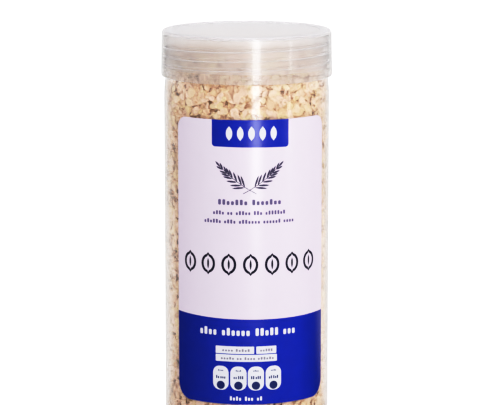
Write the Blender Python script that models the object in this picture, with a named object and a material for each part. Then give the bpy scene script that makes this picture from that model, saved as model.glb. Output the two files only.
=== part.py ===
"""A clear plastic jar full of rolled oats, with a frosted screw lid and a label on its front.

The origin is on the jar's axis in the plane that it stands on. +Z is up and the label faces -Y.
"""

import math
import random

import bmesh
import bpy
from mathutils import Matrix, Vector

MM = 0.001

# Whole object
TOTAL_HEIGHT = 188.0 * MM
SIDES = 56                      # facets of every round piece, lined up from piece to piece
CLEARANCE = 0.3 * MM            # gap between pieces that touch in the real object
WELD = 0.001 * MM
SMOOTH_ANGLE = math.radians(40.0)

# Jar: blown clear plastic, open at the top
BODY_RADIUS = 38.4 * MM
BODY_WALL = 0.9 * MM
NECK_RADIUS = 36.4 * MM
NECK_WALL = 1.2 * MM
NECK_TOP = TOTAL_HEIGHT - 1.8 * MM
SHOULDER_TOP = TOTAL_HEIGHT - 19.5 * MM
SHOULDER_BOTTOM = TOTAL_HEIGHT - 30.6 * MM
SHOULDER_STEPS = 4
HEEL_RADIUS = 5.5 * MM
HEEL_STEPS = 4
FOOT_INNER_RADIUS = 28.5 * MM   # the jar stands on the flat ring between this and the heel
DOME_EDGE_RADIUS = 24.5 * MM
DOME_EDGE_HEIGHT = 2.0 * MM
DOME_HEIGHT = 3.2 * MM

# Screw thread, one bead on the neck and one inside the lid
PITCH = 4.25 * MM
LID_THREAD_FRONT = TOTAL_HEIGHT - 10.4 * MM     # where the bead's middle turn passes the front
LID_THREAD_TURNS = (1.3, 1.3)   # before that place and after it
LID_THREAD_CREST = 36.95 * MM
NECK_THREAD_FRONT = LID_THREAD_FRONT - PITCH / 2.0
NECK_THREAD_TURNS = (0.8, 1.7)
NECK_THREAD_CREST = 37.35 * MM
THREAD_ROOT_WIDTH = 1.9 * MM
THREAD_CREST_WIDTH = 1.0 * MM
THREAD_BURIED = 0.5 * MM        # how deep the bead's back lies inside the wall that carries it
THREAD_SUNK = 0.25 * MM         # how deep its crest lies there at either end
THREAD_STEPS_PER_TURN = 22
THREAD_RUN_OUT = 0.12           # of a turn, where each end sinks into the wall

# Lid: moulded, with a flat panel inside a raised rounded rim
LID_HEIGHT = 21.5 * MM
LID_TOP_RADIUS = 39.4 * MM
LID_BOTTOM_RADIUS = 39.8 * MM
LID_INNER_RADIUS = 37.8 * MM
PANEL_RADIUS = 33.6 * MM
PANEL_DROP = 0.35 * MM
CREST_RADIUS = 37.9 * MM
RIM_DROP = 1.6 * MM
RIM_STEPS = 4
LID_LIP = 0.9 * MM
LID_FILLET = 1.2 * MM

# Label: a film round the front
LABEL_TOP = TOTAL_HEIGHT - 37.4 * MM
LABEL_BOTTOM = TOTAL_HEIGHT - 169.5 * MM
LABEL_WIDTH = 79.0 * MM         # measured round the jar
LABEL_TURN = math.radians(4.6)  # how far the label's middle is turned towards +X
LABEL_THICKNESS = 0.2 * MM
LABEL_GAP = 0.35 * MM
LABEL_COLUMNS = 20
TOP_CORNER = 5.5 * MM
BOTTOM_CORNER = 8.0 * MM
CORNER_STEPS = 5

# Oats: the heap that fills the jar, with its pressed sides and loose top
FILL_TOP = TOTAL_HEIGHT - 8.6 * MM
FILL_SWELL = 0.5 * MM
SWELL_LENGTH_X = 70.0 * MM      # from crest to crest of the slow swell, along X and along Y
SWELL_LENGTH_Y = 88.0 * MM
FLAKE_RELIEF = 0.9 * MM
SIDE_ROWS = 38
TOP_RINGS = 5
ROW_JITTER = 0.7 * MM
TOP_JITTER = 0.3 * MM
FLAKE_COUNT = 28
FLAKE_SIDES = 7
FLAKE_LENGTH = (3.6 * MM, 6.0 * MM)
FLAKE_NARROWING = (0.7, 0.9)
FLAKE_THICKNESS = 0.8 * MM
FLAKE_EDGE = 0.5 * MM
FLAKE_UNEVEN = (0.9, 1.08)
FLAKE_TILT = math.radians(20.0)
FLAKE_REACH = 29.0 * MM
FLAKE_LIFT = 0.15 * MM
SEED = 11

COLOURS = {
    "clear plastic": ((0.86, 0.84, 0.82, 1.0), 0.08),
    "frosted plastic": ((0.72, 0.69, 0.70, 1.0), 0.38),
    "label film": ((0.80, 0.75, 0.87, 1.0), 0.35),
    "rolled oats": ((0.72, 0.50, 0.31, 1.0), 0.85),
}


def clear_scene():
    """Remove whatever the scene starts with."""
    for thing in list(bpy.data.objects):
        bpy.data.objects.remove(thing, do_unlink=True)


def finish_named(name):
    """A plain shader with the piece's colour and roughness."""
    colour, roughness = COLOURS[name]
    material = bpy.data.materials.new(name)
    material.use_nodes = True
    shader = material.node_tree.nodes["Principled BSDF"]
    shader.inputs["Base Color"].default_value = colour
    shader.inputs["Roughness"].default_value = roughness
    shader.inputs["Metallic"].default_value = 0.0
    return material


def object_from(bm, name, finish=None):
    """Turn a bmesh into a named object with its faces pointing out."""
    bmesh.ops.remove_doubles(bm, verts=bm.verts, dist=WELD)
    bmesh.ops.recalc_face_normals(bm, faces=bm.faces)
    mesh = bpy.data.meshes.new(name)
    bm.to_mesh(mesh)
    bm.free()
    if finish:
        mesh.materials.append(finish_named(finish))
    piece = bpy.data.objects.new(name, mesh)
    bpy.context.scene.collection.objects.link(piece)
    return piece


def shade_round(piece):
    """Shade the piece smooth, but for its real edges."""
    piece.data.shade_smooth()
    piece.data.set_sharp_from_angle(angle=SMOOTH_ANGLE)


def turned(name, outline, finish):
    """Spin an outline of (radius, height) points round the Z axis."""
    bm = bmesh.new()
    points = [bm.verts.new((radius, 0.0, height)) for radius, height in outline]
    edges = [bm.edges.new(pair) for pair in zip(points, points[1:])]
    bmesh.ops.spin(
        bm, geom=points + edges, cent=(0.0, 0.0, 0.0), axis=(0.0, 0.0, 1.0),
        angle=math.tau, steps=SIDES, use_merge=True)
    return object_from(bm, name, finish)


def quarter(centre, radii, start, steps):
    """Points of a quarter turn, clockwise from the start angle, on an upright ellipse."""
    points = []
    for step in range(steps + 1):
        angle = math.radians(start - 90.0 * step / steps)
        points.append((centre[0] + radii[0] * math.cos(angle), centre[1] + radii[1] * math.sin(angle)))
    return points


def fuse(body, parts):
    """Join the parts to the body by one Boolean union, and remove them."""
    group = bpy.data.collections.new(body.name + " parts")
    bpy.context.scene.collection.children.link(group)
    for part in parts:
        bpy.context.scene.collection.objects.unlink(part)
        group.objects.link(part)
    union = body.modifiers.new("fuse", "BOOLEAN")
    union.operation = "UNION"
    union.solver = "EXACT"
    union.operand_type = "COLLECTION"
    union.collection = group
    bpy.context.view_layer.objects.active = body
    bpy.ops.object.modifier_apply(modifier=union.name)
    for part in parts:
        bpy.data.objects.remove(part, do_unlink=True)
    bpy.data.collections.remove(group)


def drop_small_shells(piece):
    """Keep the largest connected shell: pockets sealed by fusing are filled and scraps go."""
    bm = bmesh.new()
    bm.from_mesh(piece.data)
    waiting = set(bm.verts)
    shells = []
    while waiting:
        edge_of_shell = [waiting.pop()]
        shell = set(edge_of_shell)
        while edge_of_shell:
            for edge in edge_of_shell.pop().link_edges:
                fresh = set(edge.verts) & waiting
                waiting -= fresh
                shell |= fresh
                edge_of_shell.extend(fresh)
        shells.append(shell)
    largest = max(shells, key=len)
    bmesh.ops.delete(bm, geom=[vert for vert in bm.verts if vert not in largest], context="VERTS")
    bm.to_mesh(piece.data)
    bm.free()


def shoulder_radius(height, neck, body):
    """The radius between body and neck, on a quarter of an ellipse."""
    share = (height - SHOULDER_BOTTOM) / (SHOULDER_TOP - SHOULDER_BOTTOM)
    share = min(max(share, 0.0), 1.0)
    return neck + (body - neck) * math.sqrt(1.0 - share * share)


def bore_radius(height):
    """The radius of the jar's inner wall, from the top of the heel to the rim."""
    if height >= SHOULDER_TOP:
        return NECK_RADIUS - NECK_WALL
    return shoulder_radius(height, NECK_RADIUS - NECK_WALL, BODY_RADIUS - BODY_WALL)


def base_outline(offset):
    """From the heel down to the centre of the domed base, this far inside the outer skin."""
    heel_centre = (BODY_RADIUS - HEEL_RADIUS, HEEL_RADIUS)
    heel = HEEL_RADIUS - offset
    points = quarter(heel_centre, (heel, heel), 0.0, HEEL_STEPS)
    points.append((FOOT_INNER_RADIUS, offset))
    points.append((DOME_EDGE_RADIUS, DOME_EDGE_HEIGHT + offset))
    points.append((0.0, DOME_HEIGHT + offset))
    return points


def shoulder_outline(neck, body):
    """From the neck down the rounded shoulder to the straight wall."""
    points = []
    for step in range(SHOULDER_STEPS + 1):
        share = math.cos(math.radians(90.0 * step / SHOULDER_STEPS))
        height = SHOULDER_BOTTOM + (SHOULDER_TOP - SHOULDER_BOTTOM) * share
        points.append((shoulder_radius(height, neck, body), height))
    return points


def helix_bead(name, surface, crest, front, turns):
    """A helical bead that stands from a round surface to its crest, with ends that sink in.

    It passes the front at the height given, with so many turns before that place and after it.
    """
    before, after = turns
    length = before + after
    outward = 1.0 if crest > surface else -1.0
    root = surface - outward * THREAD_BURIED
    sunk = surface - outward * THREAD_SUNK
    steps = round(length * THREAD_STEPS_PER_TURN)
    bm = bmesh.new()
    sections = []
    for step in range(steps + 1):
        turn = length * step / steps
        angle = math.tau * (turn - before) - math.pi / 2.0
        height = front + PITCH * (turn - before)
        rise = min(1.0, turn / THREAD_RUN_OUT, (length - turn) / THREAD_RUN_OUT)
        top = sunk + (crest - sunk) * rise
        shape = [
            (root, -THREAD_ROOT_WIDTH / 2.0), (top, -THREAD_CREST_WIDTH / 2.0),
            (top, THREAD_CREST_WIDTH / 2.0), (root, THREAD_ROOT_WIDTH / 2.0)]
        sections.append([
            bm.verts.new((radius * math.cos(angle), radius * math.sin(angle), height + lift))
            for radius, lift in shape])
    for low, high in zip(sections, sections[1:]):
        for corner in range(4):
            beside = (corner + 1) % 4
            bm.faces.new((low[corner], low[beside], high[beside], high[corner]))
    bm.faces.new(sections[0])
    bm.faces.new(sections[-1])
    bmesh.ops.triangulate(bm, faces=bm.faces)
    return object_from(bm, name)


def make_jar():
    """The jar: one wall from the domed base to the threaded neck."""
    outside = [(NECK_RADIUS, NECK_TOP)]
    outside += shoulder_outline(NECK_RADIUS, BODY_RADIUS)
    outside += base_outline(0.0)
    inside = [(NECK_RADIUS - NECK_WALL, NECK_TOP)]
    inside += shoulder_outline(NECK_RADIUS - NECK_WALL, BODY_RADIUS - BODY_WALL)
    inside += base_outline(BODY_WALL)
    jar = turned("jar", inside[::-1] + outside, "clear plastic")
    bead = helix_bead("neck bead", NECK_RADIUS, NECK_THREAD_CREST, NECK_THREAD_FRONT, NECK_THREAD_TURNS)
    fuse(jar, [bead])
    shade_round(jar)


def make_lid():
    """The lid: a skirt, a rounded rim and a slightly sunk top panel, threaded inside."""
    bottom = TOTAL_HEIGHT - LID_HEIGHT
    underside = NECK_TOP + CLEARANCE
    inside = [(0.0, underside), (LID_INNER_RADIUS - LID_FILLET, underside)]
    inside += [(LID_INNER_RADIUS, underside - LID_FILLET), (LID_INNER_RADIUS, bottom)]
    lip = [(LID_BOTTOM_RADIUS - LID_LIP, bottom), (LID_BOTTOM_RADIUS, bottom + LID_LIP)]
    rim_centre = (CREST_RADIUS, TOTAL_HEIGHT - RIM_DROP)
    rim = quarter(rim_centre, (LID_TOP_RADIUS - CREST_RADIUS, RIM_DROP), 90.0, RIM_STEPS)
    panel = TOTAL_HEIGHT - PANEL_DROP
    outside = [(0.0, panel), (PANEL_RADIUS, panel)] + rim + lip[::-1]
    lid = turned("lid", outside + inside[::-1], "frosted plastic")
    bead = helix_bead("lid bead", LID_INNER_RADIUS, LID_THREAD_CREST, LID_THREAD_FRONT, LID_THREAD_TURNS)
    fuse(lid, [bead])
    shade_round(lid)


def corner_cut(inset, corner):
    """How far a rounded corner pulls the edge in, at this inset from the label's side."""
    if inset >= corner:
        return 0.0
    return corner - math.sqrt(corner * corner - (corner - inset) ** 2)


def label_columns():
    """Places across the label: close together at the round corners, even between them."""
    half = LABEL_WIDTH / 2.0
    turns = [math.radians(90.0 * step / CORNER_STEPS) for step in range(CORNER_STEPS)]
    corner = [BOTTOM_CORNER * (1.0 - math.cos(turn)) for turn in turns]
    middle = half - BOTTOM_CORNER
    places = [-half + inset for inset in corner]
    places += [-middle + 2.0 * middle * k / LABEL_COLUMNS for k in range(LABEL_COLUMNS + 1)]
    places += [half - inset for inset in reversed(corner)]
    return places


def make_label():
    """The label: a film with round corners, bent round the jar."""
    inner = BODY_RADIUS + LABEL_GAP
    outer = inner + LABEL_THICKNESS
    bm = bmesh.new()
    columns = []
    for place in label_columns():
        angle = place / inner + LABEL_TURN
        inset = LABEL_WIDTH / 2.0 - abs(place)
        low = LABEL_BOTTOM + corner_cut(inset, BOTTOM_CORNER)
        high = LABEL_TOP - corner_cut(inset, TOP_CORNER)
        columns.append([
            bm.verts.new((radius * math.sin(angle), -radius * math.cos(angle), height))
            for radius, height in ((outer, low), (outer, high), (inner, high), (inner, low))])
    for left, right in zip(columns, columns[1:]):
        for corner in range(4):
            beside = (corner + 1) % 4
            bm.faces.new((left[corner], right[corner], right[beside], left[beside]))
    bm.faces.new(columns[0])
    bm.faces.new(columns[-1])
    shade_round(object_from(bm, "label", "label film"))


def fill_height(x, y):
    """The loose top of the heap: nearly level, with a slow swell."""
    wave = math.sin(math.tau * x / SWELL_LENGTH_X) + math.cos(math.tau * y / SWELL_LENGTH_Y)
    return FILL_TOP + FILL_SWELL * wave / 2.0


def round_points(bm, place_at):
    """One ring of the heap: a point on each facet edge of the jar, placed by its angle."""
    angles = [math.tau * side / SIDES for side in range(SIDES)]
    return [bm.verts.new(place_at(angle)) for angle in angles]


def base_ring(bm, radius, height):
    """A ring that lies against the jar's base, or its middle point."""
    if radius == 0.0:
        return [bm.verts.new((0.0, 0.0, height))]
    return round_points(bm, lambda angle: (radius * math.cos(angle), radius * math.sin(angle), height))


def side_ring(bm, height, spacing, chance):
    """A ring pressed against the wall, narrow enough to clear the bore up to the next ring."""
    def place_at(angle):
        z = height + chance.uniform(-ROW_JITTER, ROW_JITTER)
        bore = bore_radius(z + spacing + ROW_JITTER)
        reach = bore - CLEARANCE - FLAKE_RELIEF * chance.random()
        return (reach * math.cos(angle), reach * math.sin(angle), z)
    return round_points(bm, place_at)


def top_ring(bm, reach, chance):
    """A ring of the loose top, or its middle point."""
    if reach == 0.0:
        return [bm.verts.new((0.0, 0.0, fill_height(0.0, 0.0)))]

    def place_at(angle):
        x = reach * math.cos(angle)
        y = reach * math.sin(angle)
        return (x, y, fill_height(x, y) + chance.uniform(-TOP_JITTER, TOP_JITTER))
    return round_points(bm, place_at)


def heap_rings(bm, chance):
    """The rings of the heap, from the middle of the base, up the wall, to the middle of the top."""
    rings = [base_ring(bm, *point) for point in base_outline(BODY_WALL + CLEARANCE)[::-1]]
    high = FILL_TOP - FILL_SWELL
    spacing = (high - HEEL_RADIUS) / SIDE_ROWS
    for row in range(1, SIDE_ROWS + 1):
        rings.append(side_ring(bm, HEEL_RADIUS + spacing * row, spacing, chance))
    edge = bore_radius(high) - CLEARANCE - FLAKE_RELIEF
    for ring in range(1, TOP_RINGS + 1):
        rings.append(top_ring(bm, edge * (TOP_RINGS - ring) / TOP_RINGS, chance))
    return rings


def make_flake(chance):
    """One rolled flake lying on the top of the heap: a thin uneven disc, thickest in the middle."""
    length = chance.uniform(*FLAKE_LENGTH)
    width = length * chance.uniform(*FLAKE_NARROWING)
    reach = FLAKE_REACH * math.sqrt(chance.random())
    bearing = chance.uniform(0.0, math.tau)
    x = reach * math.cos(bearing)
    y = reach * math.sin(bearing)
    place = Matrix.Translation((x, y, fill_height(x, y) + FLAKE_LIFT))
    place = place @ Matrix.Rotation(chance.uniform(0.0, math.tau), 4, "Z")
    place = place @ Matrix.Rotation(chance.uniform(-FLAKE_TILT, FLAKE_TILT), 4, "X")
    bm = bmesh.new()
    rims = {-1: [], 1: []}
    for side in range(FLAKE_SIDES):
        angle = math.tau * side / FLAKE_SIDES
        uneven = chance.uniform(*FLAKE_UNEVEN)
        for face, rim in rims.items():
            point = Vector((
                length / 2.0 * uneven * math.cos(angle), width / 2.0 * uneven * math.sin(angle),
                face * FLAKE_EDGE / 2.0))
            rim.append(bm.verts.new(place @ point))
    for face, rim in rims.items():
        middle = bm.verts.new(place @ Vector((0.0, 0.0, face * FLAKE_THICKNESS / 2.0)))
        for side in range(FLAKE_SIDES):
            bm.faces.new((rim[side], rim[(side + 1) % FLAKE_SIDES], middle))
    for side in range(FLAKE_SIDES):
        beside = (side + 1) % FLAKE_SIDES
        bm.faces.new((rims[-1][side], rims[-1][beside], rims[1][beside]))
        bm.faces.new((rims[-1][side], rims[1][beside], rims[1][side]))
    return object_from(bm, "flake")


def make_oats():
    """The oats: a heap that follows the jar's inside, with flakes fused to its top."""
    chance = random.Random(SEED)
    bm = bmesh.new()
    rings = heap_rings(bm, chance)
    for low, high in zip(rings, rings[1:]):
        for side in range(SIDES):
            beside = (side + 1) % SIDES
            if len(low) == 1:
                bm.faces.new((low[0], high[beside], high[side]))
            elif len(high) == 1:
                bm.faces.new((low[side], low[beside], high[0]))
            else:
                bm.faces.new((low[side], low[beside], high[beside]))
                bm.faces.new((low[side], high[beside], high[side]))
    oats = object_from(bm, "oats", "rolled oats")
    fuse(oats, [make_flake(chance) for _ in range(FLAKE_COUNT)])
    drop_small_shells(oats)


clear_scene()
make_jar()
make_lid()
make_label()
make_oats()
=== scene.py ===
import math

import bpy
import numpy as np
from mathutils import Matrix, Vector


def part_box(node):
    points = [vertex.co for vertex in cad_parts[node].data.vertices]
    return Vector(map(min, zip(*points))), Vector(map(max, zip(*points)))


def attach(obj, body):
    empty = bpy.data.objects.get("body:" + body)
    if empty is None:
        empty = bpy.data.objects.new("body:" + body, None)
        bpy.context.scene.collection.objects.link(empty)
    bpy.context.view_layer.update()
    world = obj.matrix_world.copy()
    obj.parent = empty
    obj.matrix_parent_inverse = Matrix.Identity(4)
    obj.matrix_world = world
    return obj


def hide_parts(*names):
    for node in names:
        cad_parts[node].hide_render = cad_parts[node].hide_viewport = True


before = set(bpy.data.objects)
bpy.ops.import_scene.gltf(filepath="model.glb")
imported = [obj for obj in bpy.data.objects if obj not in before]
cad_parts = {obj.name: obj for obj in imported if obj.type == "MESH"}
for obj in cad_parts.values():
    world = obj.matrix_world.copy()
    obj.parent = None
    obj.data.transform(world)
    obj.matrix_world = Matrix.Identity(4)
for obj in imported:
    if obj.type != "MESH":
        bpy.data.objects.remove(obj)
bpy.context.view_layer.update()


# The rolled oats that fill the jar: groats steamed and rolled flat, cream with a tan skin. Whole
# flakes, broken bits and brown bran are pressed against the clear wall, and flakes lie loose on
# top. Each kind is modelled once, varied a little each time, and laid over a solid core. The
# flakes further back and the core have painted shade, the core a dark brown like shaded gaps.

MM = 0.001
chance = np.random.default_rng(7)

_, jar_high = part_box("jar")
lid_low, lid_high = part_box("lid")
oats_low, oats_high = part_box("oats")

body_radius = jar_high.x
wall = 1.1 * MM
neck_radius = 36.4 * MM
neck_wall = 1.2 * MM
shoulder_top = lid_high.z - 19.5 * MM
shoulder_bottom = lid_high.z - 30.6 * MM
heel_radius = 5.5 * MM
fill_top = oats_high.z - 1.3 * MM


class Value:
    """A socket of a finish, with arithmetic that adds the Math nodes."""

    def __init__(self, finish, socket):
        self.finish = finish
        self.socket = socket

    def maths(self, operation, *values):
        return self.finish.node("ShaderNodeMath", {"operation": operation}, dict(enumerate(values)))

    def __add__(self, other):
        return self.maths("ADD", self, other)

    def __mul__(self, other):
        return self.maths("MULTIPLY", self, other)

    def __sub__(self, other):
        return self.maths("SUBTRACT", self, other)

    def __rsub__(self, other):
        return self.maths("SUBTRACT", other, self)

    def __gt__(self, other):
        return self.maths("GREATER_THAN", self, other)

    def __lt__(self, other):
        return self.maths("LESS_THAN", self, other)

    __radd__ = __add__
    __rmul__ = __mul__


class Finish:
    """A material: each node gets its settings first, and then the values or links of its sockets."""

    def __init__(self, name):
        self.material = bpy.data.materials.new(name)
        self.material.use_nodes = True
        self.tree = self.material.node_tree
        self.tree.nodes.clear()

    def node(self, kind, settings=None, sockets=None, out=0):
        made = self.tree.nodes.new(kind)
        for name, setting in (settings or {}).items():
            if name == "stops":
                self.set_stops(made.color_ramp, setting)
            else:
                setattr(made, name, setting)
        for name, value in (sockets or {}).items():
            if isinstance(value, Value):
                self.tree.links.new(value.socket, made.inputs[name])
            else:
                made.inputs[name].default_value = value
        return Value(self, made.outputs[out]) if made.outputs else None

    def set_stops(self, ramp, stops):
        while len(ramp.elements) < len(stops):
            ramp.elements.new(1.0)
        for element, (place, colour) in zip(ramp.elements, stops):
            element.position = place
            element.color = (*colour, 1.0)

    def place(self):
        return self.node("ShaderNodeTexCoord", out="Object")

    def place_parts(self):
        """The X, Y and Z of the place on the object."""
        place = self.place()
        return [self.node("ShaderNodeSeparateXYZ", None, {0: place}, out=axis) for axis in "XYZ"]

    def attribute(self, name):
        return self.node("ShaderNodeAttribute", {"attribute_name": name}, out="Fac")

    def noise(self, size, detail=2.0):
        """Soft noise with spots of about this size in metres."""
        sockets = {"Vector": self.place(), "Scale": 1.0 / size, "Detail": detail}
        return self.node("ShaderNodeTexNoise", None, sockets)

    def ramp(self, value, stops):
        return self.node("ShaderNodeValToRGB", {"stops": stops}, {"Fac": value})

    def blend(self, share, first, second):
        """Colours mixed by a share from 0 to 1."""
        colours = [c if isinstance(c, Value) else (*c, 1.0) for c in (first, second)]
        sockets = {0: share, 6: colours[0], 7: colours[1]}
        return self.node("ShaderNodeMix", {"data_type": "RGBA"}, sockets, out=2)

    def bump(self, height, depth):
        return self.node("ShaderNodeBump", None, {"Height": height, "Distance": depth})

    def plastic(self, colour, roughness, **sockets):
        """The Principled shader, with spaces for the underscores in its sockets' names."""
        named = {name.replace("_", " "): value for name, value in sockets.items()}
        base = colour if isinstance(colour, Value) else (*colour, 1.0)
        return self.node(
            "ShaderNodeBsdfPrincipled", None, {"Base Color": base, "Roughness": roughness, **named})

    def cover(self, shader):
        self.node("ShaderNodeOutputMaterial", None, {"Surface": shader})
        return self.material


oat_cream = (0.965, 0.75, 0.63)
oat_pale = (0.91, 0.675, 0.54)
oat_tan = (0.79, 0.56, 0.405)
oat_skin = (0.60, 0.38, 0.23)
oat_yellow = (0.93, 0.77, 0.48)
bran_brown = (0.20, 0.10, 0.04)
# Painted shade: a dark brown that stands in for the shade in the gaps of a deep heap.
painted_gap_shade_brown = (0.44, 0.27, 0.15)


def oat_finish(name, shade, dark=oat_skin):
    """Dry mealy flakes: each has its tone, with a darker rim and mottling finer than a millimetre; the
    share of shade blends in painted shade toward the dark colour.
    """
    rim_share = 0.45
    yellow_share = 0.7
    finish = Finish(name)
    tone = finish.attribute("tone")
    stops = [(0.0, oat_skin), (0.14, oat_tan), (0.5, oat_pale), (1.0, oat_cream)]
    mottle = finish.noise(0.9 * MM, 3.0)
    colour = finish.ramp(tone + (mottle - 0.5) * 0.5, stops)
    colour = finish.blend(finish.attribute("rim") * rim_share, colour, oat_tan)
    colour = finish.blend(finish.attribute("yellow") * yellow_share, colour, oat_yellow)
    # Painted shade: the shade share darkens the colour toward the dark colour.
    colour = finish.blend(shade, colour, dark)
    grain = finish.bump(finish.noise(0.35 * MM, 3.0), 0.1 * MM)
    shader = finish.plastic(colour, 0.75, Normal=grain, Specular_IOR_Level=0.25)
    return finish.cover(shader)


def deselect_all():
    bpy.ops.object.select_all(action="DESELECT")


def edit_all():
    bpy.ops.object.mode_set(mode="EDIT")
    bpy.ops.mesh.select_all(action="SELECT")


def leave_edit():
    bpy.ops.object.mode_set(mode="OBJECT")


def flake_shape(sides, top_share, rise):
    """One flake of unit length: an outline, raised to a smaller top with a dent in its middle."""
    deselect_all()
    bpy.ops.mesh.primitive_circle_add(vertices=sides, radius=0.5, fill_type="NGON")
    flake = bpy.context.object
    edit_all()
    bpy.ops.mesh.extrude_region_move(TRANSFORM_OT_translate={"value": (0.0, 0.0, rise)})
    bpy.ops.transform.resize(value=(top_share, top_share, 1.0))
    bpy.ops.mesh.poke(offset=-rise * 0.5)
    bpy.ops.mesh.select_all(action="SELECT")
    bpy.ops.mesh.fill_holes(sides=sides)
    bpy.ops.mesh.normals_make_consistent(inside=False)
    bpy.ops.mesh.quads_convert_to_tris()
    leave_edit()
    points = np.array([vertex.co for vertex in flake.data.vertices])
    faces = np.array([face.vertices for face in flake.data.polygons])
    bpy.data.objects.remove(flake)
    return points, faces


def joined(name, faces, copies, finish):
    """One mesh from copies of a shape: copies holds every copy's points, shaped (copy, point, xyz)."""
    count, size, _ = copies.shape
    every_face = (faces[None] + size * np.arange(count)[:, None, None]).reshape(-1, faces.shape[1])
    mesh = bpy.data.meshes.new(name)
    mesh.from_pydata(copies.reshape(-1, 3), [], every_face)
    mesh.materials.append(finish)
    piece = bpy.data.objects.new(name, mesh)
    bpy.context.scene.collection.objects.link(piece)
    return piece


def paint(piece, name, values):
    """Store a number for each point of the mesh, for its finish to read."""
    attribute = piece.data.attributes.new(name, "FLOAT", "POINT")
    attribute.data.foreach_set("value", np.ascontiguousarray(values, np.float32).ravel())


def varied(shape, count, lengths, slims, thickness, curl):
    """Copies of a flake, each with its own length, width, ragged outline and curl."""
    points = np.repeat(shape[None], count, axis=0)
    bearing = np.arctan2(points[..., 1], points[..., 0])
    ragged = 1.0 + 0.07 * np.sin(2.0 * bearing + chance.uniform(0.0, math.tau, (count, 1)))
    ragged += 0.06 * np.sin(3.0 * bearing + chance.uniform(0.0, math.tau, (count, 1)))
    ragged += chance.normal(0.0, 0.05, ragged.shape)
    length = chance.uniform(*lengths, (count, 1))
    x = points[..., 0] * ragged * length
    y = points[..., 1] * ragged * length * chance.uniform(*slims, (count, 1))
    bend = chance.normal(0.0, curl, (count, 1))
    twist = chance.normal(0.0, curl, (count, 1))
    z = points[..., 2] * thickness + (bend * x * x + twist * x * y) / length
    return np.stack([x, y, z], axis=-1)


def turned_about(points, axis, angle):
    """Turn each copy by its own angle about X (0), Y (1) or Z (2)."""
    one, two = [other for other in range(3) if other != axis]
    cos = np.cos(angle)[:, None]
    sin = np.sin(angle)[:, None]
    out = points.copy()
    out[..., one] = cos * points[..., one] - sin * points[..., two]
    out[..., two] = sin * points[..., one] + cos * points[..., two]
    return out


def bore(height):
    """The jar's inner radius at a height, through heel, wall, shoulder and neck."""
    height = np.asarray(height, float)
    rise = np.clip((height - shoulder_bottom) / (shoulder_top - shoulder_bottom), 0.0, 1.0)
    neck = neck_radius - neck_wall
    body = body_radius - wall
    upper = np.where(height > shoulder_top, neck, neck + (body - neck) * np.sqrt(1.0 - rise * rise))
    drop = np.clip((heel_radius - height) / (heel_radius - wall), 0.0, 1.0)
    return upper - (heel_radius - wall) * (1.0 - np.sqrt(1.0 - drop * drop))


label_low, label_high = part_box("label")
label_middle = 3.1 * MM
label_width = 79.4 * MM
label_hides = 4.0 * MM


def behind_label(angle, height):
    """True well inside the label's edges, where nothing can be seen."""
    across = np.abs(angle * body_radius - label_middle) < label_width / 2.0 - label_hides
    return across & (height > label_low.z + label_hides) & (height < label_high.z - label_hides)


def wall_places(spacing):
    """Angles and heights spread evenly over the clear part of the wall, each moved a little."""
    low = oats_low.z + 0.6 * MM
    rows = round((fill_top - low) / spacing)
    columns = round(math.tau * body_radius / spacing)
    row, column = np.meshgrid(np.arange(rows), np.arange(columns), indexing="ij")
    angle = (column + 0.5 * (row % 2) + chance.uniform(-0.4, 0.4, row.shape)) / columns * math.tau
    height = low + (row + 0.5 + chance.uniform(-0.4, 0.4, row.shape)) / rows * (fill_top - low)
    angle = (angle.ravel() + math.pi) % math.tau - math.pi
    height = height.ravel()
    shown = ~behind_label(angle, height)
    return angle[shown], height[shown]


def against_wall(points, angle, height, depth):
    """Push each flake out until its furthest point is this deep inside the bore."""
    across = points[..., 0]
    up = points[..., 1] + height[:, None]
    up += np.maximum(oats_low.z - up.min(axis=1), 0.0)[:, None]
    out = points[..., 2]
    room = bore(np.clip(up, oats_low.z, None)) - out - across * across / (2.0 * body_radius)
    radius = (room.min(axis=1) - depth)[:, None] + out
    cos = np.cos(angle)[:, None]
    sin = np.sin(angle)[:, None]
    return np.stack([radius * sin + across * cos, across * sin - radius * cos, up], axis=-1)


def tumbled(points, lean, level_share):
    """Spin each flake and lean it; a share of them lies level, edge on to the wall."""
    count = len(points)
    wobble = 0.35
    level = chance.random(count) < level_share
    spin = chance.uniform(0.0, math.tau, count)
    edge_on = math.pi / 2.0 + chance.normal(0.0, wobble, count)
    angle = np.where(level, edge_on, chance.normal(0.0, lean, count))
    points = turned_about(points, 2, spin)
    points = turned_about(points, 0, angle)
    swing = np.where(level, chance.normal(0.0, wobble, count), chance.uniform(0.0, math.tau, count))
    return turned_about(points, 2, swing)


front_pockets = [
    (-35.0 * MM, 152.0 * MM), (-16.0 * MM, 164.0 * MM), (-6.5 * MM, 163.0 * MM), (-0.5 * MM, 156.5 * MM),
    (15.5 * MM, 163.5 * MM), (35.0 * MM, 158.0 * MM), (-40.0 * MM, 139.0 * MM), (-43.0 * MM, 133.0 * MM),
    (-41.0 * MM, 126.0 * MM), (-42.0 * MM, 120.0 * MM)]
other_pockets = 240
half_round = 120.0 * MM
chance_along = chance.uniform(-half_round, half_round, other_pockets)
chance_up = chance.uniform(oats_low.z, fill_top, other_pockets)
pocket_along = np.append([along for along, _ in front_pockets], chance_along)
pocket_up = np.append([up for _, up in front_pockets], chance_up)
pocket_reach = chance.uniform(1.2 * MM, 2.1 * MM, len(pocket_up))


def pockets(angle, height):
    """From 0 to 1: small wide pockets, some of them placed, where the flakes stand back from the wall."""
    squeeze = 0.7
    along = (angle[:, None] * body_radius - pocket_along) * squeeze
    distance = np.hypot(along, height[:, None] - pocket_up)
    return np.clip(1.5 - distance / pocket_reach, 0.0, 1.0).max(axis=1)


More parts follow.
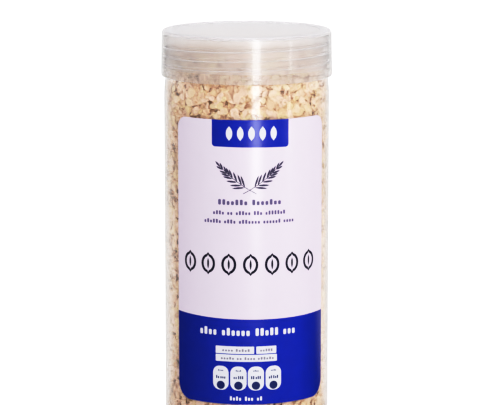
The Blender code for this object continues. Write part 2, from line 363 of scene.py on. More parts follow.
def finish_flakes(piece, shape, count, low_tone, high_tone):
    """Store what the finish of the flakes reads, and hand the piece over."""
    rim_start = 0.42
    rim = np.hypot(shape[:, 0], shape[:, 1]) > rim_start
    paint(piece, "tone", np.repeat(chance.uniform(low_tone, high_tone, (count, 1)), len(shape), axis=1))
    paint(piece, "rim", np.repeat(rim[None].astype(float), count, axis=0))
    paint(piece, "yellow", np.repeat(chance.random((count, 1)) ** 2, len(shape), axis=1))
    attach(piece, "root")
    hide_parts("oats")


oats_in_light = oat_finish("rolled oats", shade=0.0)
# The flakes further back get a copy of the finish with painted shade.
oats_with_painted_shade = oat_finish("rolled oats with painted shade", shade=0.25)
whole, whole_faces = flake_shape(8, top_share=0.7, rise=0.1)
broken, broken_faces = flake_shape(6, top_share=0.75, rise=0.2)
flake_lengths = (3.2 * MM, 6.2 * MM)
flake_slims = (0.55, 0.9)
flake_scale = 4.0 * MM

for name, spacing, depth, sunk, finish in (
        ("oat_flakes_at_the_wall", 2.4 * MM, (-0.15 * MM, 0.55 * MM), 1.7 * MM, oats_in_light),
        ("oat_flakes_behind", 2.7 * MM, (0.8 * MM, 1.9 * MM), 0.5 * MM, oats_with_painted_shade)):
    angle, height = wall_places(spacing)
    count = len(angle)
    flakes = varied(whole, count, flake_lengths, flake_slims, flake_scale, curl=0.3)
    inward = chance.uniform(*depth, count) + sunk * pockets(angle, height)
    flakes = tumbled(flakes, lean=0.38, level_share=0.2)
    flakes = against_wall(flakes, angle, height, inward)
    piece = joined(name, whole_faces, flakes, finish)
    finish_flakes(piece, whole, count, low_tone=0.1, high_tone=1.0)

bit_spacing = 3.4 * MM
bit_lengths = (0.9 * MM, 2.5 * MM)
bit_slims = (0.4, 0.95)
bit_scale = 2.0 * MM
angle, height = wall_places(bit_spacing)
count = len(angle)
bits = varied(broken, count, bit_lengths, bit_slims, bit_scale, curl=0.2)
bits = tumbled(bits, lean=0.9, level_share=0.2)
bits = against_wall(bits, angle, height, chance.uniform(-0.15 * MM, 0.6 * MM, count))
piece = joined("oat_bits", broken_faces, bits, oats_in_light)
finish_flakes(piece, broken, count, low_tone=0.0, high_tone=0.9)


def fill_height(x, y):
    """The loose top of the heap: nearly level, with a slow swell."""
    swell = 0.5 * MM
    return fill_top + swell * np.sin(x / (12.0 * MM)) * np.cos(y / (15.0 * MM))


count = 900
top_lengths = (3.2 * MM, 5.8 * MM)
top_slims = (0.68, 0.92)
top_depth = 0.7 * MM
top_reach = neck_radius - neck_wall - 3.0 * MM
reach = top_reach * np.sqrt(chance.random(count))
bearing = chance.uniform(0.0, math.tau, count)
flakes = varied(whole, count, top_lengths, top_slims, flake_scale, curl=0.25)
flakes = turned_about(flakes, 2, chance.uniform(0.0, math.tau, count))
flakes = turned_about(flakes, 0, chance.normal(0.0, 0.3, count))
flakes = turned_about(flakes, 2, chance.uniform(0.0, math.tau, count))
x = reach * np.cos(bearing)
y = reach * np.sin(bearing)
flakes += np.stack([x, y, fill_height(x, y) - top_depth], axis=-1)[:, None]
piece = joined("oat_flakes_on_top", whole_faces, flakes, oats_in_light)
finish_flakes(piece, whole, count, low_tone=0.1, high_tone=1.0)

deselect_all()
bpy.ops.mesh.primitive_uv_sphere_add(segments=4, ring_count=3, radius=0.5)
sliver = bpy.context.object
edit_all()
bpy.ops.transform.resize(value=(1.0, 0.28, 0.15))
bpy.ops.mesh.quads_convert_to_tris()
leave_edit()
bran = np.array([vertex.co for vertex in sliver.data.vertices])
bran_faces = np.array([face.vertices for face in sliver.data.polygons])
bpy.data.objects.remove(sliver)
bran_finish = Finish("bran")
bran_colour = bran_finish.ramp(bran_finish.attribute("tone"), [(0.0, bran_brown), (1.0, oat_skin)])
bran_finish.cover(bran_finish.plastic(bran_colour, 0.7))
bran_spacing = 6.0 * MM
bran_lengths = (1.0 * MM, 3.2 * MM)
bran_slims = (0.6, 1.2)
bran_scale = 2.0 * MM
angle, height = wall_places(bran_spacing)
count = len(angle)
slivers = varied(bran, count, bran_lengths, bran_slims, bran_scale, curl=0.3)
slivers = tumbled(slivers, lean=0.5, level_share=0.1)
slivers = against_wall(slivers, angle, height, chance.uniform(0.0, 0.4 * MM, count))
piece = joined("oat_bran", bran_faces, slivers, bran_finish.material)
finish_flakes(piece, bran, count, low_tone=0.0, high_tone=1.0)


def turned(name, outline, sides, finish):
    """Turn an outline of (radius, height) points into a closed solid round the jar's axis."""
    deselect_all()
    bpy.ops.mesh.primitive_plane_add(size=MM)
    piece = bpy.context.object
    piece.name = name
    edit_all()
    bpy.ops.mesh.merge(type="CENTER")
    goals = [Vector((radius, 0.0, height)) for radius, height in outline]
    bpy.ops.transform.translate(value=goals[0])
    for start, goal in zip(goals, goals[1:]):
        bpy.ops.mesh.extrude_region_move(TRANSFORM_OT_translate={"value": goal - start})
    bpy.ops.mesh.select_all(action="SELECT")
    bpy.ops.mesh.spin(steps=sides, angle=math.tau, center=(0.0, 0.0, 0.0), axis=(0.0, 0.0, 1.0))
    bpy.ops.mesh.select_all(action="SELECT")
    bpy.ops.mesh.remove_doubles(threshold=0.001 * MM)
    bpy.ops.mesh.normals_make_consistent(inside=False)
    leave_edit()
    piece.data.materials.append(finish)
    return piece


core_depth = 2.2 * MM
core_top = fill_top - 1.4 * MM
core_low = oats_low.z + 1.0 * MM
core_rows = 64
core_sides = 96
core_roughness = 0.25 * MM
rise = [core_low + (core_top - core_low) * row / core_rows for row in range(core_rows + 1)]
core_side = [(float(bore(height)) - core_depth, height) for height in rise]
core_floor = [(0.0, core_low + 1.8 * MM), (22.0 * MM, core_low + 1.6 * MM)]
# The core is painted dark brown: painted shade in the gaps between the flakes.
oats_with_painted_gap_shade = oat_finish("rolled oats painted dark as shaded gaps", shade=0.85, dark=painted_gap_shade_brown)
core = turned("oat_core", core_floor + core_side + [(0.0, core_top)], core_sides, oats_with_painted_gap_shade)
points = np.array([vertex.co for vertex in core.data.vertices])
points += chance.normal(0.0, core_roughness, points.shape)
core.data.vertices.foreach_set("co", points.ravel())
paint(core, "tone", chance.uniform(0.0, 0.8, len(points)))
paint(core, "rim", np.zeros(len(points)))
paint(core, "yellow", np.zeros(len(points)))
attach(core, "root")
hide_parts("oats")


# The jar: blown from clear plastic with a wall of about a millimetre, a domed base, a rounded
# shoulder and a wide neck that carries two and a half turns of thread.

foot_radius = 28.5 * MM
dome_radius = 24.5 * MM
dome_edge = 2.0 * MM
dome_height = 3.2 * MM
neck_top = jar_high.z
round_sides = 160
clear_tint = (0.985, 0.98, 0.975)


def smoothed(piece, angle=40.0):
    """Shade a piece smooth but for the edges sharper than this angle in degrees."""
    deselect_all()
    piece.select_set(True)
    bpy.context.view_layer.objects.active = piece
    bpy.ops.object.shade_smooth_by_angle(angle=math.radians(angle))
    return piece


def quarter(centre, radii, start, steps):
    """Points of a quarter turn, clockwise from the start angle, on an upright ellipse."""
    angles = [math.radians(start - 90.0 * step / steps) for step in range(steps + 1)]
    return [(centre[0] + radii[0] * math.cos(a), centre[1] + radii[1] * math.sin(a)) for a in angles]


def see_through(finish, shader, through):
    """Let lamps and soft light reach what is behind a clear wall, with the wall's own tint."""
    path = finish.tree.nodes.new("ShaderNodeLightPath")
    clear = finish.node("ShaderNodeBsdfTransparent", None, {"Color": (*through, 1.0)})
    for ray in ("Is Shadow Ray", "Is Diffuse Ray"):
        share = Value(finish, path.outputs[ray])
        shader = finish.node("ShaderNodeMixShader", None, {0: share, 1: shader, 2: clear})
    return finish.cover(shader)


def clear_finish():
    """Clear glossy plastic with the faint ripple of a blown wall."""
    colour = (0.99, 0.955, 0.935)
    roughness = 0.13
    finish = Finish("clear blown plastic")
    ripple = finish.bump(finish.noise(14.0 * MM, 1.0), 0.05 * MM)
    shader = finish.plastic(colour, roughness, Transmission_Weight=1.0, IOR=1.5, Normal=ripple)
    return see_through(finish, shader, clear_tint)


def base_outline(offset):
    """From the heel down to the centre of the domed base, this far inside the outer skin."""
    heel = heel_radius - offset
    points = quarter((body_radius - heel_radius, heel_radius), (heel, heel), 0.0, 8)
    points += [(foot_radius, offset), (foot_radius - 1.5 * MM, offset + 0.5 * MM)]
    points += [(dome_radius, dome_edge + offset), (dome_radius * 0.8, dome_height * 0.85 + offset)]
    points += [(dome_radius * 0.4, dome_height + offset), (0.0, dome_height + offset)]
    return points


def shoulder_outline(neck, body):
    """From the neck down the rounded shoulder to the straight wall."""
    centre = (neck, shoulder_bottom)
    return quarter(centre, (body - neck, shoulder_top - shoulder_bottom), 90.0, 10)


lip = 0.3 * MM
outside = [(neck_radius - lip, neck_top), (neck_radius, neck_top - lip)]
outside += shoulder_outline(neck_radius, body_radius) + base_outline(0.0)
bore_radius = neck_radius - neck_wall
inside = [(bore_radius + lip, neck_top), (bore_radius, neck_top - lip)]
inside += shoulder_outline(bore_radius, body_radius - wall) + base_outline(wall)
jar = turned("clear_jar", inside[::-1] + outside, round_sides, clear_finish())

pitch = 4.25 * MM
thread_front = lid_high.z - 10.4 * MM
thread_root = 1.9 * MM
thread_crest = 1.0 * MM
thread_back = 0.5 * MM
turn_steps = 72


def helix_bead(name, surface, crest, front, before, after):
    """A helical bead with its back in the wall; it passes the front at this height, and winds
    this many turns before and after it."""
    back = surface + math.copysign(thread_back, surface - crest)
    low = front - pitch * before
    deselect_all()
    bpy.ops.mesh.primitive_plane_add(
        size=1.0, location=((back + crest) / 2.0, 0.0, low), rotation=(math.pi / 2.0, 0.0, 0.0))
    bead = bpy.context.object
    bead.name = name
    bead.scale = (abs(back - crest), thread_root, 1.0)
    bpy.ops.object.transform_apply(location=True, rotation=True, scale=True)
    bpy.ops.object.mode_set(mode="EDIT")
    bpy.ops.mesh.select_all(action="DESELECT")
    leave_edit()
    for vertex in bead.data.vertices:
        vertex.select = abs(vertex.co.x - crest) < 0.01 * MM
    bpy.ops.object.mode_set(mode="EDIT")
    bpy.ops.transform.resize(
        value=(1.0, 1.0, thread_crest / thread_root), center_override=(crest, 0.0, low))
    bpy.ops.mesh.select_all(action="SELECT")
    bpy.ops.mesh.delete(type="ONLY_FACE")
    leave_edit()
    bead.rotation_euler = (0.0, 0.0, -math.tau * (before + 0.25))
    bpy.ops.object.transform_apply(location=True, rotation=True, scale=True)
    winding = bead.modifiers.new("winding", "SCREW")
    winding.angle = math.tau * (before + after)
    winding.screw_offset = pitch * (before + after)
    winding.steps = winding.render_steps = round(turn_steps * (before + after))
    deselect_all()
    bead.select_set(True)
    bpy.context.view_layer.objects.active = bead
    bpy.ops.object.modifier_apply(modifier=winding.name)
    edit_all()
    bpy.ops.mesh.fill_holes(sides=4)
    bpy.ops.mesh.normals_make_consistent(inside=False)
    leave_edit()
    return bead


def fused(body, part):
    """Join a part to the body by a Boolean union and remove it."""
    union = body.modifiers.new("union", "BOOLEAN")
    union.operation = "UNION"
    union.object = part
    deselect_all()
    body.select_set(True)
    bpy.context.view_layer.objects.active = body
    bpy.ops.object.modifier_apply(modifier=union.name)
    bpy.data.objects.remove(part)
    return body


neck_crest = 37.35 * MM
neck_bead_front = thread_front - pitch / 2.0
fused(jar, helix_bead("neck bead", neck_radius, neck_crest, neck_bead_front, before=0.8, after=1.7))
smoothed(jar)
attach(jar, "root")
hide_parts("jar")


# The lid: moulded from milky plastic that lets light through but blurs what is behind it. It has
# a smooth skirt, a rounded rim round a slightly sunk panel, and a thread inside that grips the neck.

lid_top_radius = 39.4 * MM
lid_bottom_radius = lid_high.x
lid_inner = 37.8 * MM
panel_radius = 33.6 * MM
panel_drop = 0.35 * MM
crest_radius = 37.9 * MM
rim_drop = 1.6 * MM


def frosted_finish():
    """Milky plastic: smooth and coated outside, and matt inside, which blurs what lies behind it.
    The top panel and the flanks of the inner thread are milkier than the rest, and inside the skirt the
    plastic is tinted darker and browner, a painted shade."""
    skin = 0.2 * MM
    thread_flank = 37.1 * MM
    skirt_height = 4.5 * MM
    panel_depth = 0.5 * MM
    side_depth = 1.5 * MM
    finish = Finish("frosted plastic")
    x, y, z = finish.place_parts()
    radius = finish.node("ShaderNodeMath", {"operation": "SQRT"}, {0: x * x + y * y})
    inner = (radius < lid_inner + skin) * (z < underside + skin)
    bead = inner * (radius < lid_inner - 0.1 * MM) * (z < underside - 2.0 * MM)
    flank = bead * (radius > thread_flank)
    skirt = z < lid_low.z + skirt_height
    cloud = finish.noise(9.0 * MM, 2.0)
    grain = finish.bump(finish.noise(0.5 * MM, 2.0), 0.003 * MM)
    outer = finish.ramp(cloud, [(0.3, (0.91, 0.895, 0.90)), (0.7, (0.95, 0.935, 0.94))])
    panel = z > lid_high.z - panel_depth
    outer = finish.blend(panel, outer, (0.90, 0.87, 0.93))
    side = (1.0 - inner) * (z < lid_high.z - side_depth)
    depth = finish.blend(bead, (1.0, 1.0, 1.0), (0.98, 0.97, 0.99))
    # Painted shade: inside the skirt the plastic is tinted darker and browner, as the shade under the lid.
    depth = finish.blend(skirt * (1.0 - bead), depth, (0.91, 0.85, 0.79))
    tint = finish.blend(inner, outer, depth)
    blur = inner * (0.26 - skirt * 0.18)
    clear = finish.plastic(
        tint, 0.12 + cloud * 0.03 + blur, Transmission_Weight=0.84, IOR=1.49, Normal=grain,
        Coat_Weight=side * 0.4, Coat_Roughness=0.15)
    milky = finish.plastic(finish.blend(panel, (0.97, 0.94, 0.96), (0.80, 0.77, 0.82)), 0.5)
    sockets = {0: flank * 0.95 + panel * 0.35, 1: clear, 2: milky}
    shader = finish.node("ShaderNodeMixShader", None, sockets)
    return see_through(finish, shader, (0.87, 0.865, 0.87))


bottom = lid_low.z
underside = neck_top + 0.3 * MM
skirt_round = 0.9 * MM
inner_round = 1.2 * MM
inner_cut = 0.35 * MM
rim_size = (lid_top_radius - crest_radius, rim_drop)
lid_crest = 36.95 * MM
outside = [(0.0, lid_high.z - panel_drop), (panel_radius, lid_high.z - panel_drop)]
outside += [(panel_radius + 0.25 * MM, lid_high.z - 0.12 * MM)]
outside += [(panel_radius + 0.5 * MM, lid_high.z)]
outside += quarter((crest_radius, lid_high.z - rim_drop), rim_size, 90.0, 12)
skirt_centre = (lid_bottom_radius - skirt_round, bottom + skirt_round)
outside += quarter(skirt_centre, (skirt_round, skirt_round), 0.0, 5)
inside = [(lid_inner, bottom), (lid_inner, underside - inner_round)]
inside += [(lid_inner - inner_cut, underside - inner_cut)]
inside += [(lid_inner - inner_round, underside), (0.0, underside)]
lid = turned("frosted_lid", outside + inside, round_sides, frosted_finish())
fused(lid, helix_bead("lid bead", lid_inner, lid_crest, thread_front, before=1.3, after=1.3))
smoothed(lid)
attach(lid, "root")
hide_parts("lid")


# The label: a printed plastic film glued round the front, with round corners. Its field is a pale
# lavender white, with a deep blue panel at the foot and a blue tab at the top edge.

film_gap = 0.03 * MM
film_thickness = 0.12 * MM
top_corner = 5.5 * MM
bottom_corner = 8.0 * MM
panel_top = 58.5 * MM
print_tilt = 0.012
panel_rise = 0.5
tab_middle = 1.8 * MM
tab_half = 18.05 * MM
tab_low = 138.1 * MM
tab_corner = 1.5 * MM
column_width = 1.5 * MM


def flat_patch(middle, height, width, tall):
    """A flat upright patch in the plane Y = 0, facing forward, as wide and tall as asked."""
    deselect_all()
    bpy.ops.mesh.primitive_plane_add(
        size=1.0, location=(middle, 0.0, height), rotation=(math.pi / 2.0, 0.0, 0.0))
    patch = bpy.context.object
    patch.scale = (width, tall, 1.0)
    bpy.ops.object.transform_apply(location=True, rotation=True, scale=True)
    return patch


def round_corners(patch, radius, keep, steps=6):
    """Round those corners of the patch for which keep(point) is true."""
    bpy.ops.object.mode_set(mode="EDIT")
    bpy.ops.mesh.select_all(action="DESELECT")
    leave_edit()
    for vertex in patch.data.vertices:
        vertex.select = keep(vertex.co)
    bpy.ops.object.mode_set(mode="EDIT")
    bpy.ops.mesh.bevel(affect="VERTICES", offset=radius, segments=steps)
    leave_edit()


def bent_round(patch, name, radius, thickness, finish):
    """Cut a flat patch into columns, bend it round the jar and give it its thickness."""
    patch.name = name
    deselect_all()
    patch.select_set(True)
    bpy.context.view_layer.objects.active = patch
    across = [vertex.co.x for vertex in patch.data.vertices]
    edit_all()
    columns = math.ceil((max(across) - min(across)) / column_width)
    for column in range(1, columns):
        bpy.ops.mesh.select_all(action="SELECT")
        cut = min(across) + (max(across) - min(across)) * column / columns
        bpy.ops.mesh.bisect(plane_co=(cut, 0.0, 0.0), plane_no=(1.0, 0.0, 0.0))
    leave_edit()
    for vertex in patch.data.vertices:
        angle = vertex.co.x / body_radius
        vertex.co = (radius * math.sin(angle), -radius * math.cos(angle), vertex.co.z)
    body = patch.modifiers.new("body", "SOLIDIFY")
    body.thickness = thickness
    body.offset = 1.0
    bpy.ops.object.modifier_apply(modifier=body.name)
    patch.data.materials.append(finish)
    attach(patch, "root")
    return smoothed(patch, 50.0)


film_white = (0.87, 0.765, 0.91)
film_blue = (0.001, 0.021, 0.49)


def film_finish():
    """Satin film: the blue lies below the panel's edge and in the tab, and is darker towards the label's
    left and right edges, a painted shade.
    """
    left_reach = 37.0 * MM
    finish = Finish("label film")
    x, y, z = finish.place_parts()
    across = finish.node("ShaderNodeMath", {"operation": "ARCTAN2"}, {0: x, 1: 0.0 - y}) * body_radius
    z = z + across * print_tilt
    aside = (across - tab_middle).maths("ABSOLUTE", across - tab_middle)
    beyond = aside.maths("MAXIMUM", aside - (tab_half - tab_corner), 0.0)
    under = z.maths("MAXIMUM", (tab_low + tab_corner) - z, 0.0)
    in_tab = (beyond * beyond + under * under) < tab_corner * tab_corner
    below = z - across * across * panel_rise < panel_top
    blue = finish.node("ShaderNodeMath", {"operation": "MAXIMUM"}, {0: in_tab, 1: below})
    paper = finish.noise(6.0 * MM, 3.0)
    white = finish.blend(paper, film_white, tuple(0.97 * part for part in film_white))
    # Painted shade: the blue is darker towards the label's left and right edges, where the light falls off
    # round the jar.
    spread = (across + left_reach) * (1.0 / label_width)
    deep = tuple(0.66 * part for part in film_blue)
    ink = finish.ramp(spread, [(0.0, deep), (0.4, film_blue), (0.8, film_blue), (1.0, deep)])
    ink = finish.blend(paper * 0.15, ink, (0.0, 0.0, 0.0))
    colour = finish.blend(blue, white, ink)
    grain = finish.bump(finish.noise(1.2 * MM, 2.0), 0.01 * MM)
    shader = finish.plastic(colour, 0.21 + paper * 0.03, Normal=grain, Specular_IOR_Level=1.0)
    return finish.cover(shader)


film_radius = body_radius + film_gap
middle_height = (label_low.z + label_high.z) / 2.0
film = flat_patch(label_middle, middle_height, label_width, label_high.z - label_low.z)
round_corners(film, top_corner, lambda point: point.z > middle_height)
round_corners(film, bottom_corner, lambda point: point.z < middle_height - label_width / 2.0)
bent_round(film, "label_film", film_radius, film_thickness, film_finish())
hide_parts("label")


# The print on the label, as layers of ink: crossed ears, a row of grain shapes, bars in the place
# of lines, and white boxes and pills with navy discs on the blue panel.

ink_thickness = 0.02 * MM
first_ink = film_radius + film_thickness
second_ink = first_ink + ink_thickness


def ink_finish(name, colour):
    """Flat ink with a fine speckle a little darker than its colour."""
    finish = Finish(name)
    speck = finish.noise(0.8 * MM, 2.0)
    shade = finish.blend(speck, colour, tuple(0.88 * part for part in colour))
    return finish.cover(finish.plastic(shade, 0.4, Specular_IOR_Level=0.3))


def bar(middle, height, width, tall, corner=None, steps=3):
    """A printed bar with round corners."""
    patch = flat_patch(middle, height, width, tall)
    round_corners(patch, corner or min(tall, width) * 0.35, lambda point: True, steps)
    return patch


def word_bars(left, right, height, tall, letters, gap):
    """A line of print as words of small upright dashes, some of them taller."""
    step = (right - left - gap * (len(letters) - 1)) / sum(letters)
    dashes = []
    for count in letters:
        for place in range(count):
            high = tall * chance.choice([0.7, 0.7, 1.0])
            middle = left + step * (place + 0.5)
            dashes.append(bar(middle, height - (tall - high) / 2.0, step * 0.66, high))
        left += step * count + gap
    return dashes


def printed(name, patches, finish, radius=first_ink):
    """Join the patches of one ink and lay them on the label."""
    deselect_all()
    for patch in patches:
        patch.select_set(True)
    bpy.context.view_layer.objects.active = patches[0]
    bpy.ops.object.join()
    return bent_round(patches[0], name, radius, ink_thickness, finish)


def upright(patch, place, lean=0.0):
    """Stand a flat patch up, facing forward, with its own middle at this place."""
    patch.location = (place[0], 0.0, place[1])
    patch.rotation_euler = (math.pi / 2.0, lean, 0.0)
    bpy.ops.object.transform_apply(location=True, rotation=True, scale=True)
    return patch


def disc(middle, height, radius):
    """A printed disc."""
    deselect_all()
    bpy.ops.mesh.primitive_circle_add(vertices=20, radius=radius, fill_type="NGON")
    return upright(bpy.context.object, (middle, height))


def grain(middle, foot, length, width, lean=0.0, sides=12, stroke=0.0):
    """A printed grain that leans from its foot: a drawn-out disc with pointed tips, or its outline."""
    deselect_all()
    bpy.ops.mesh.primitive_circle_add(vertices=sides, radius=0.5, fill_type="NGON")
    patch = bpy.context.object
    edit_all()
    bpy.ops.transform.resize(value=(width, length * 0.84, 1.0))
    bpy.ops.transform.translate(value=(0.0, length / 2.0, 0.0))
    if stroke:
        bpy.ops.mesh.inset(thickness=stroke)
        bpy.ops.mesh.delete(type="FACE")
    leave_edit()
    for vertex in patch.data.vertices:
        if abs(vertex.co.x) < 0.02 * width:
            vertex.co.y += math.copysign(length * 0.08, vertex.co.y - length / 2.0)
    return upright(patch, (middle, foot), lean)


violet_ink = ink_finish("violet ink", (0.17, 0.13, 0.28))
ear_ink = ink_finish("dark ink of the ears", (0.060, 0.048, 0.11))
navy_ink = ink_finish("navy ink", (0.012, 0.024, 0.17))
black_ink = ink_finish("blue-black ink", (0.008, 0.008, 0.028))
white_ink = ink_finish("white ink", (0.84, 0.84, 0.93))

crossing = (1.4 * MM, 118.2 * MM)
ear_length = 20.6 * MM
ear_pairs = 7
ear_steps = 24
ear_bare_steps = 7
ear_grain = 5.9
ear_taper = 0.4
ear_grain_width = 0.95 * MM
stem_height = 0.36 * MM
ear_patches = []
for side in (-1.0, 1.0):
    lean_low = side * math.radians(62.0)
    lean_high = side * math.radians(44.0)
    x = crossing[0] - side * 3.0 * MM
    z = crossing[1] - 1.5 * MM
    places = []
    for step in range(ear_steps + 1):
        lean = lean_low + (lean_high - lean_low) * step / ear_steps
        places.append((x, z, lean))
        x += ear_length / ear_steps * math.sin(lean)
        z += ear_length / ear_steps * math.cos(lean)
    deselect_all()
    bpy.ops.mesh.primitive_plane_add(size=MM)
    stem = bpy.context.object
    edit_all()
    bpy.ops.mesh.merge(type="CENTER")
    bpy.ops.transform.translate(value=(places[0][0], 0.0, places[0][1]))
    for start, goal in zip(places, places[1:]):
        step = (goal[0] - start[0], 0.0, goal[1] - start[1])
        bpy.ops.mesh.extrude_region_move(TRANSFORM_OT_translate={"value": step})
    bpy.ops.mesh.select_all(action="SELECT")
    bpy.ops.mesh.extrude_region_move(TRANSFORM_OT_translate={"value": (0.0, 0.0, stem_height)})
    leave_edit()
    ear_patches.append(stem)
    for pair in range(ear_pairs):
        x, z, lean = places[ear_bare_steps + round(pair * 15 / (ear_pairs - 1))]
        long = (ear_grain - ear_taper * pair) * MM
        for hand in (-1.0, 1.0):
            spread = lean + hand * math.radians(38.0 - 3.0 * pair)
            ear_patches.append(grain(x, z, long, ear_grain_width, spread, 8))
    x, z, lean = places[-1]
    ear_patches.append(grain(x, z, 3.6 * MM, ear_grain_width, lean, 8))
printed("print_crossed_ears", ear_patches, ear_ink)

row_left = -33.3 * MM
row_right = 36.9 * MM
row_low = 78.8 * MM
row_tall = 10.4 * MM
row_count = 7
row_pitch = (row_right - row_left) / row_count
grain_width = 7.0 * MM
grain_stroke = 1.15 * MM
seam_lift = 2.7 * MM
seam_tall = 5.0 * MM
seam_width = 1.0 * MM
grain_patches = []
for place in range(row_count):
    middle = row_left + row_pitch * (place + 0.5)
    grain_patches.append(grain(middle, row_low, row_tall, grain_width, 0.0, 28, grain_stroke))
    grain_patches.append(grain(middle, row_low + seam_lift, seam_tall, seam_width))
printed("print_grain_row", grain_patches, black_ink)

small_print = word_bars(-13.5 * MM, 16.3 * MM, 112.9 * MM, 2.6 * MM, (7, 7), 1.6 * MM)
small_print += word_bars(-15.9 * MM, 18.3 * MM, 108.0 * MM, 1.9 * MM, (4, 2, 5, 3, 7), 1.1 * MM)
small_print += word_bars(-20.3 * MM, 22.8 * MM, 104.0 * MM, 1.9 * MM, (6, 4, 7, 6, 4), 1.1 * MM)
printed("print_small_bars", small_print, violet_ink)

box_corner = 0.35 * MM
pill_corner = 3.2 * MM
disc_radius = 1.95 * MM
disc_height = 27.4 * MM
white_patches = word_bars(-22.9 * MM, 23.8 * MM, 52.6 * MM, 3.6 * MM, (4, 6, 5, 3), 1.9 * MM)
white_patches.append(bar(-5.55 * MM, 44.1 * MM, 18.0 * MM, 3.5 * MM, box_corner))
white_patches.append(bar(9.13 * MM, 44.1 * MM, 9.5 * MM, 3.5 * MM, box_corner))
white_patches.append(bar(-0.2 * MM, 40.3 * MM, 28.7 * MM, 3.3 * MM, box_corner))
pill_middles = (-12.1 * MM, -3.8 * MM, 4.25 * MM, 12.5 * MM)
navy_patches = []
for middle in pill_middles:
    white_patches.append(bar(middle, 30.8 * MM, 7.5 * MM, 11.3 * MM, pill_corner, 7))
    navy_patches.append(disc(middle, disc_height, disc_radius))
    navy_patches += word_bars(middle - 1.3 * MM, middle + 1.3 * MM, 34.4 * MM, 0.8 * MM, (4,), 0.0)
    navy_patches += word_bars(middle - 2.4 * MM, middle + 2.4 * MM, 31.2 * MM, 1.5 * MM, (2, 3), 0.3 * MM)
white_patches += word_bars(-8.0 * MM, 7.3 * MM, 21.3 * MM, 2.0 * MM, (4, 3, 2), 1.3 * MM)
for place in range(5):
    white_patches.append(grain((-8.0 + 5.1 * place) * MM, 141.1 * MM, 6.7 * MM, 3.0 * MM, 0.0, 16))
grey_patches = word_bars(-11.6 * MM, 1.6 * MM, 44.0 * MM, 1.3 * MM, (4, 5), 0.9 * MM)
grey_patches += word_bars(6.0 * MM, 12.2 * MM, 44.0 * MM, 1.3 * MM, (5,), 0.9 * MM)
grey_patches += word_bars(-12.2 * MM, 12.8 * MM, 40.2 * MM, 1.3 * MM, (5, 2, 4, 6), 0.9 * MM)
printed("print_white", white_patches, white_ink)
printed("print_navy", navy_patches, navy_ink, second_ink)
grey_ink = ink_finish("grey ink", (0.30, 0.28, 0.36))
printed("print_grey", grey_patches, grey_ink, second_ink)


# The studio: a pale floor under a white surround, both darker on the camera's side. A bright strip
# and a narrow strip draw the two upright glints; a tall softbox and a right fill only give light.
# The picture's tones are set by a camera curve with deeper shadows and soft whites.

camera_distance = 1.1976
camera_height = 0.3133
camera_pitch = 9.809
camera_turn = -0.0752
focal_length = 186.5

camera_data = bpy.data.cameras.new("camera")
camera_data.lens = focal_length
camera_data.sensor_width = 36.0
camera = bpy.data.objects.new("camera", camera_data)
camera.location = (0.0, -camera_distance, camera_height)
camera.rotation_euler = (math.radians(90.0 - camera_pitch), 0.0, math.radians(camera_turn))
bpy.context.scene.collection.objects.link(camera)
bpy.context.scene.camera = camera

brightest = 1.25
tones = [(0.0, 0.0), (0.1, 0.06), (0.25, 0.19), (0.35, 0.325), (0.54, 0.6)]
tones += [(0.7, 0.76), (0.9, 0.89), (brightest, 1.0)]
picture = bpy.context.scene.view_settings
picture.view_transform = "Standard"
picture.use_curve_mapping = True
picture.curve_mapping.white_level = (brightest, brightest, brightest)
curve = picture.curve_mapping.curves[3]
while len(curve.points) < len(tones):
    curve.points.new(0.5, 0.5)
for point, (light, tone) in zip(curve.points, tones):
    point.location = (light / brightest, tone)
picture.curve_mapping.update()

white = (1.0, 1.0, 1.0, 1.0)


def ray_share(nodes, ray):
    """One for light of this kind, and zero for all other light."""
    return nodes.node("ShaderNodeLightPath", out=ray)


def mirrored(nodes):
    """One for light that a glossy surface throws back, and zero for all other light."""
    return ray_share(nodes, "Is Glossy Ray") * ray_share(nodes, "Is Reflection Ray")


def floor_sheet():
    """White to the eye and pale to light. Gloss mirrors it dark in front and white behind, and
    seen through the plastic it is dark in front and white behind too."""
    finish = Finish("pale floor")
    place = finish.place()
    back = finish.node("ShaderNodeSeparateXYZ", None, {0: place}, out="Y")
    far = finish.node("ShaderNodeVectorMath", {"operation": "LENGTH"}, {0: place}, out="Value")
    toward = back.maths("DIVIDE", back, far)
    near = finish.node("ShaderNodeMapRange", {"interpolation_type": "SMOOTHSTEP"}, {
        "Value": far, "From Min": 0.4, "From Max": 0.9, "To Min": 0.95, "To Max": 0.3})
    shade = finish.node("ShaderNodeMapRange", {"interpolation_type": "SMOOTHSTEP"}, {
        "Value": toward, "From Min": 0.25, "From Max": 0.6, "To Min": 0.01, "To Max": near})
    behind = finish.node("ShaderNodeMapRange", {"interpolation_type": "SMOOTHSTEP"}, {
        "Value": toward, "From Min": 0.7, "From Max": 0.9, "To Min": 0.0, "To Max": 1.0})
    shade = shade.maths("MAXIMUM", shade, behind)
    thrown_back = finish.blend(shade, (0.0, 0.0, 0.0), (1.0, 1.0, 1.0))
    colour = finish.blend(mirrored(finish), (0.88, 0.88, 0.88), thrown_back)
    lit = finish.plastic(colour, 0.9, Specular_IOR_Level=0.0)
    to_eye = ray_share(finish, "Is Camera Ray")
    through = ray_share(finish, "Is Transmission Ray")
    beyond = finish.node("ShaderNodeMapRange", {"interpolation_type": "SMOOTHSTEP"}, {
        "Value": toward, "From Min": -0.4, "From Max": 0.4, "To Min": 0.08, "To Max": 0.6})
    glow = finish.blend(beyond, (0.0, 0.0, 0.0), (1.0, 1.0, 1.0))
    glow = finish.blend(to_eye, glow, (0.73, 0.73, 0.73))
    seen = finish.node("ShaderNodeEmission", None, {"Color": glow, "Strength": 2.2})
    sockets = {0: to_eye + through, 1: lit, 2: seen}
    return finish.cover(finish.node("ShaderNodeMixShader", None, sockets))


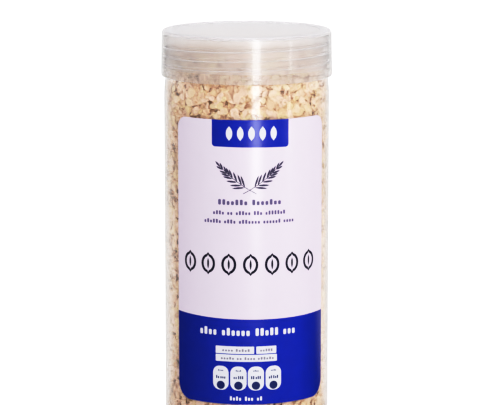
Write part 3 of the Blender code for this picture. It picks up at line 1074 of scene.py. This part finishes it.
bpy.ops.mesh.primitive_grid_add(x_subdivisions=4, y_subdivisions=4, size=16.0)
floor = bpy.context.object
floor.name = "floor"
floor.data.materials.append(floor_sheet())

surround = bpy.data.worlds.new("surround")
bpy.context.scene.world = surround
surround.use_nodes = True
surround.node_tree.nodes.clear()


class Surround(Finish):
    """The world's own node tree, built in the same way."""

    def __init__(self, world):
        self.tree = world.node_tree


def light_surround(behind, before, mirrored_before, through_behind, through_before):
    """White to the eye and behind the jar, and darker on the camera's side, above all in gloss.
    Light that has come through the plastic has two levels of its own."""
    nodes = Surround(surround)
    way = nodes.node("ShaderNodeTexCoord", out="Generated")
    back = nodes.node("ShaderNodeSeparateXYZ", None, {0: way}, out="Y")
    step = {"From Min": -0.5, "From Max": 0.4, "To Min": 0.0, "To Max": 1.0}
    share = nodes.node("ShaderNodeMapRange", {"interpolation_type": "SMOOTHSTEP"}, {"Value": back, **step})
    through = ray_share(nodes, "Is Transmission Ray")
    front = before - mirrored(nodes) * (before - mirrored_before)
    level = front + share * (behind - front)
    level = level + through * (through_before + share * (through_behind - through_before) - level)
    seen = ray_share(nodes, "Is Camera Ray")
    strength = seen * 1.6 + (1.0 - seen) * level
    shader = nodes.node("ShaderNodeBackground", None, {"Color": white, "Strength": strength})
    nodes.node("ShaderNodeOutputWorld", None, {"Surface": shader})


light_surround(
    behind=0.97, before=0.47, mirrored_before=0.02, through_behind=1.9, through_before=0.25)


def softbox(name, azimuth, distance, height, width, tall, brightness, glint=True, fill=True):
    """An upright soft light that faces the jar, at this angle to the right of the camera."""
    data = bpy.data.lights.new(name, "AREA")
    data.shape = "RECTANGLE"
    data.size = width
    data.size_y = tall
    data.energy = brightness * math.pi * width * tall
    lamp = bpy.data.objects.new(name, data)
    angle = math.radians(azimuth)
    lamp.location = (distance * math.sin(angle), -distance * math.cos(angle), height)
    lamp.rotation_euler = (math.pi / 2.0, 0.0, angle)
    lamp.visible_glossy = glint
    lamp.visible_diffuse = fill
    lamp.visible_camera = False
    bpy.context.scene.collection.objects.link(lamp)


softbox("tall softbox", azimuth=10.8, distance=0.72, height=0.42,
        width=0.155, tall=0.8, brightness=4.1, glint=False)
softbox("bright strip", azimuth=12.8, distance=0.68, height=0.41,
        width=0.125, tall=0.8, brightness=5.8, fill=False)
softbox("narrow strip", azimuth=60.0, distance=0.88, height=0.45,
        width=0.05, tall=0.9, brightness=4.0)
softbox("right fill", azimuth=36.0, distance=1.8, height=0.8,
        width=1.4, tall=1.2, brightness=1.5, glint=False)
